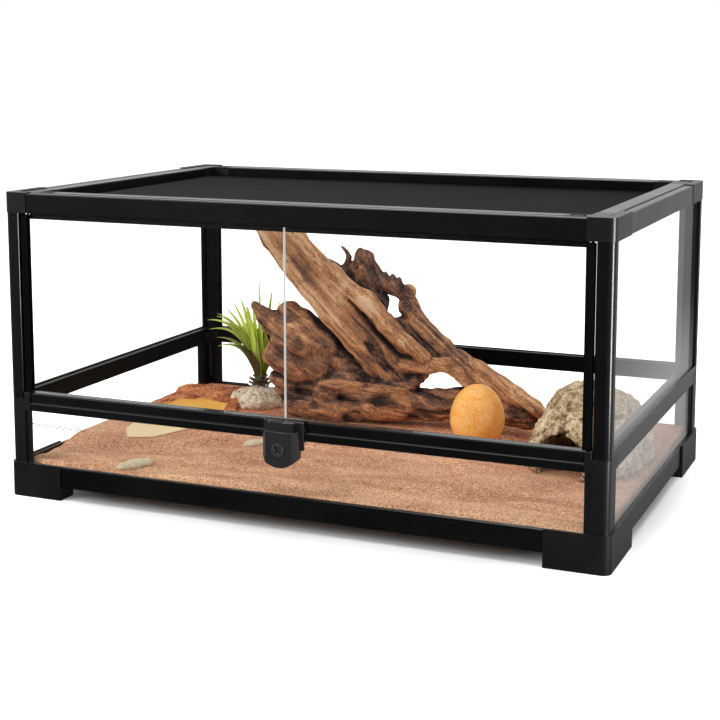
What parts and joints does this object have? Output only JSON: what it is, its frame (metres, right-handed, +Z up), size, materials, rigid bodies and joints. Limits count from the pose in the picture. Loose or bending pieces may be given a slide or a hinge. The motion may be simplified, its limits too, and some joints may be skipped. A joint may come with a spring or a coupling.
{
  "type": "reptile terrarium",
  "caption": "Low framed glass reptile enclosure with two front doors on side pivots, a lift-off screen cover, a keyed centre latch, a sand bed and rock and wood furnishings.",
  "frame": {"origin": "middle of the overall box, latch included, at floor level under the foot pads", "axes": "+X to the right seen from the front, +Y from the doors towards the back, +Z up"},
  "size_m": [0.6, 0.4128, 0.3],
  "materials": {
    "frame_black": "satin black powder coat over aluminium profile",
    "moulding_black": "fine-grained black moulded plastic",
    "clear_glass": "clear polished float glass",
    "seal": "translucent silicone",
    "pad": "black rubber",
    "lock_steel": "dark plated steel",
    "mesh_steel": "black coated woven wire",
    "sand": "dry pinkish tan sand",
    "wood_grain": "weathered bare driftwood",
    "leaf_green": "soft lime green leaves",
    "pale_rock": "rough pale stone",
    "dish_clay": "terracotta rock with a smooth yellow basin",
    "cave_rock": "pitted beige rock",
    "egg_orange": "speckled orange stone"
  },
  "bodies": {
    "case": {"front_left_boot": "moulding_black", "front_right_boot": "moulding_black", "rear_left_boot": "moulding_black", "rear_right_boot": "moulding_black", "foot_pads": "pad", "front_bottom_rail": "frame_black", "rear_bottom_rail": "frame_black", "left_bottom_rail": "frame_black", "right_bottom_rail": "frame_black", "base_glass": "clear_glass", "front_tray_glass": "clear_glass", "rear_tray_glass": "clear_glass", "left_tray_glass": "clear_glass", "right_tray_glass": "clear_glass", "tray_seals": "seal", "tray_posts": "moulding_black", "front_mid_rail": "frame_black", "rear_mid_rail": "frame_black", "left_mid_rail": "frame_black", "right_mid_rail": "frame_black", "door_pivot_blocks": "moulding_black", "front_left_post": "frame_black", "front_right_post": "frame_black", "rear_left_post": "frame_black", "rear_right_post": "frame_black", "rear_glass": "clear_glass", "left_glass": "clear_glass", "right_glass": "clear_glass", "front_top_rail": "frame_black", "rear_top_rail": "frame_black", "left_top_rail": "frame_black", "right_top_rail": "frame_black", "cover_ledges": "frame_black", "front_left_cap": "moulding_black", "front_right_cap": "moulding_black", "rear_left_cap": "moulding_black", "rear_right_cap": "moulding_black", "latch_bracket": "frame_black", "latch_body": "moulding_black", "sand_bed": "sand", "driftwood": "wood_grain", "plant": "leaf_green", "plant_rock": "pale_rock", "water_dish": "dish_clay", "rock_cave": "cave_rock", "egg_stone": "egg_orange", "pebbles": "pale_rock"},
    "left_door": {"left_door_glass": "clear_glass", "left_door_stile": "frame_black"},
    "right_door": {"right_door_glass": "clear_glass", "right_door_stile": "frame_black"},
    "catch": {"latch_catch": "moulding_black"},
    "lock": {"lock_barrel": "lock_steel"},
    "cover": {"cover_bars": "frame_black", "cover_corners": "moulding_black", "screen_mesh": "mesh_steel"},
    "clip_front_left": {"front_left_clip": "moulding_black"},
    "clip_front_right": {"front_right_clip": "moulding_black"},
    "clip_rear_left": {"rear_left_clip": "moulding_black"},
    "clip_rear_right": {"rear_right_clip": "moulding_black"}
  },
  "joints": [
    {"name": "left_door_hinge", "type": "hinge", "parent": "case", "child": "left_door", "pos_m": [-0.2786, -0.188, 0.192], "axis": [0, 0, -1], "range_deg": [0, 105]},
    {"name": "right_door_hinge", "type": "hinge", "parent": "case", "child": "right_door", "pos_m": [0.2786, -0.188, 0.192], "axis": [0, 0, 1], "range_deg": [0, 105]},
    {"name": "catch_slide", "type": "slide", "parent": "case", "child": "catch", "axis": [0, 0, -1], "range_m": [0, 0.008]},
    {"name": "lock_turn", "type": "hinge", "parent": "case", "child": "lock", "pos_m": [0, -0.2036, 0.08], "axis": [0, 1, 0], "range_deg": [0, 90]},
    {"name": "cover_lift", "type": "slide", "parent": "case", "child": "cover", "axis": [0, 0, 1], "range_m": [0, 0.06]},
    {"name": "clip_front_left_slide", "type": "slide", "parent": "cover", "child": "clip_front_left", "axis": [0, 1, 0], "range_m": [0, 0.004]},
    {"name": "clip_front_right_slide", "type": "slide", "parent": "cover", "child": "clip_front_right", "axis": [0, 1, 0], "range_m": [0, 0.004]},
    {"name": "clip_rear_left_slide", "type": "slide", "parent": "cover", "child": "clip_rear_left", "axis": [0, -1, 0], "range_m": [0, 0.004]},
    {"name": "clip_rear_right_slide", "type": "slide", "parent": "cover", "child": "clip_rear_right", "axis": [0, -1, 0], "range_m": [0, 0.004]}
  ]
}
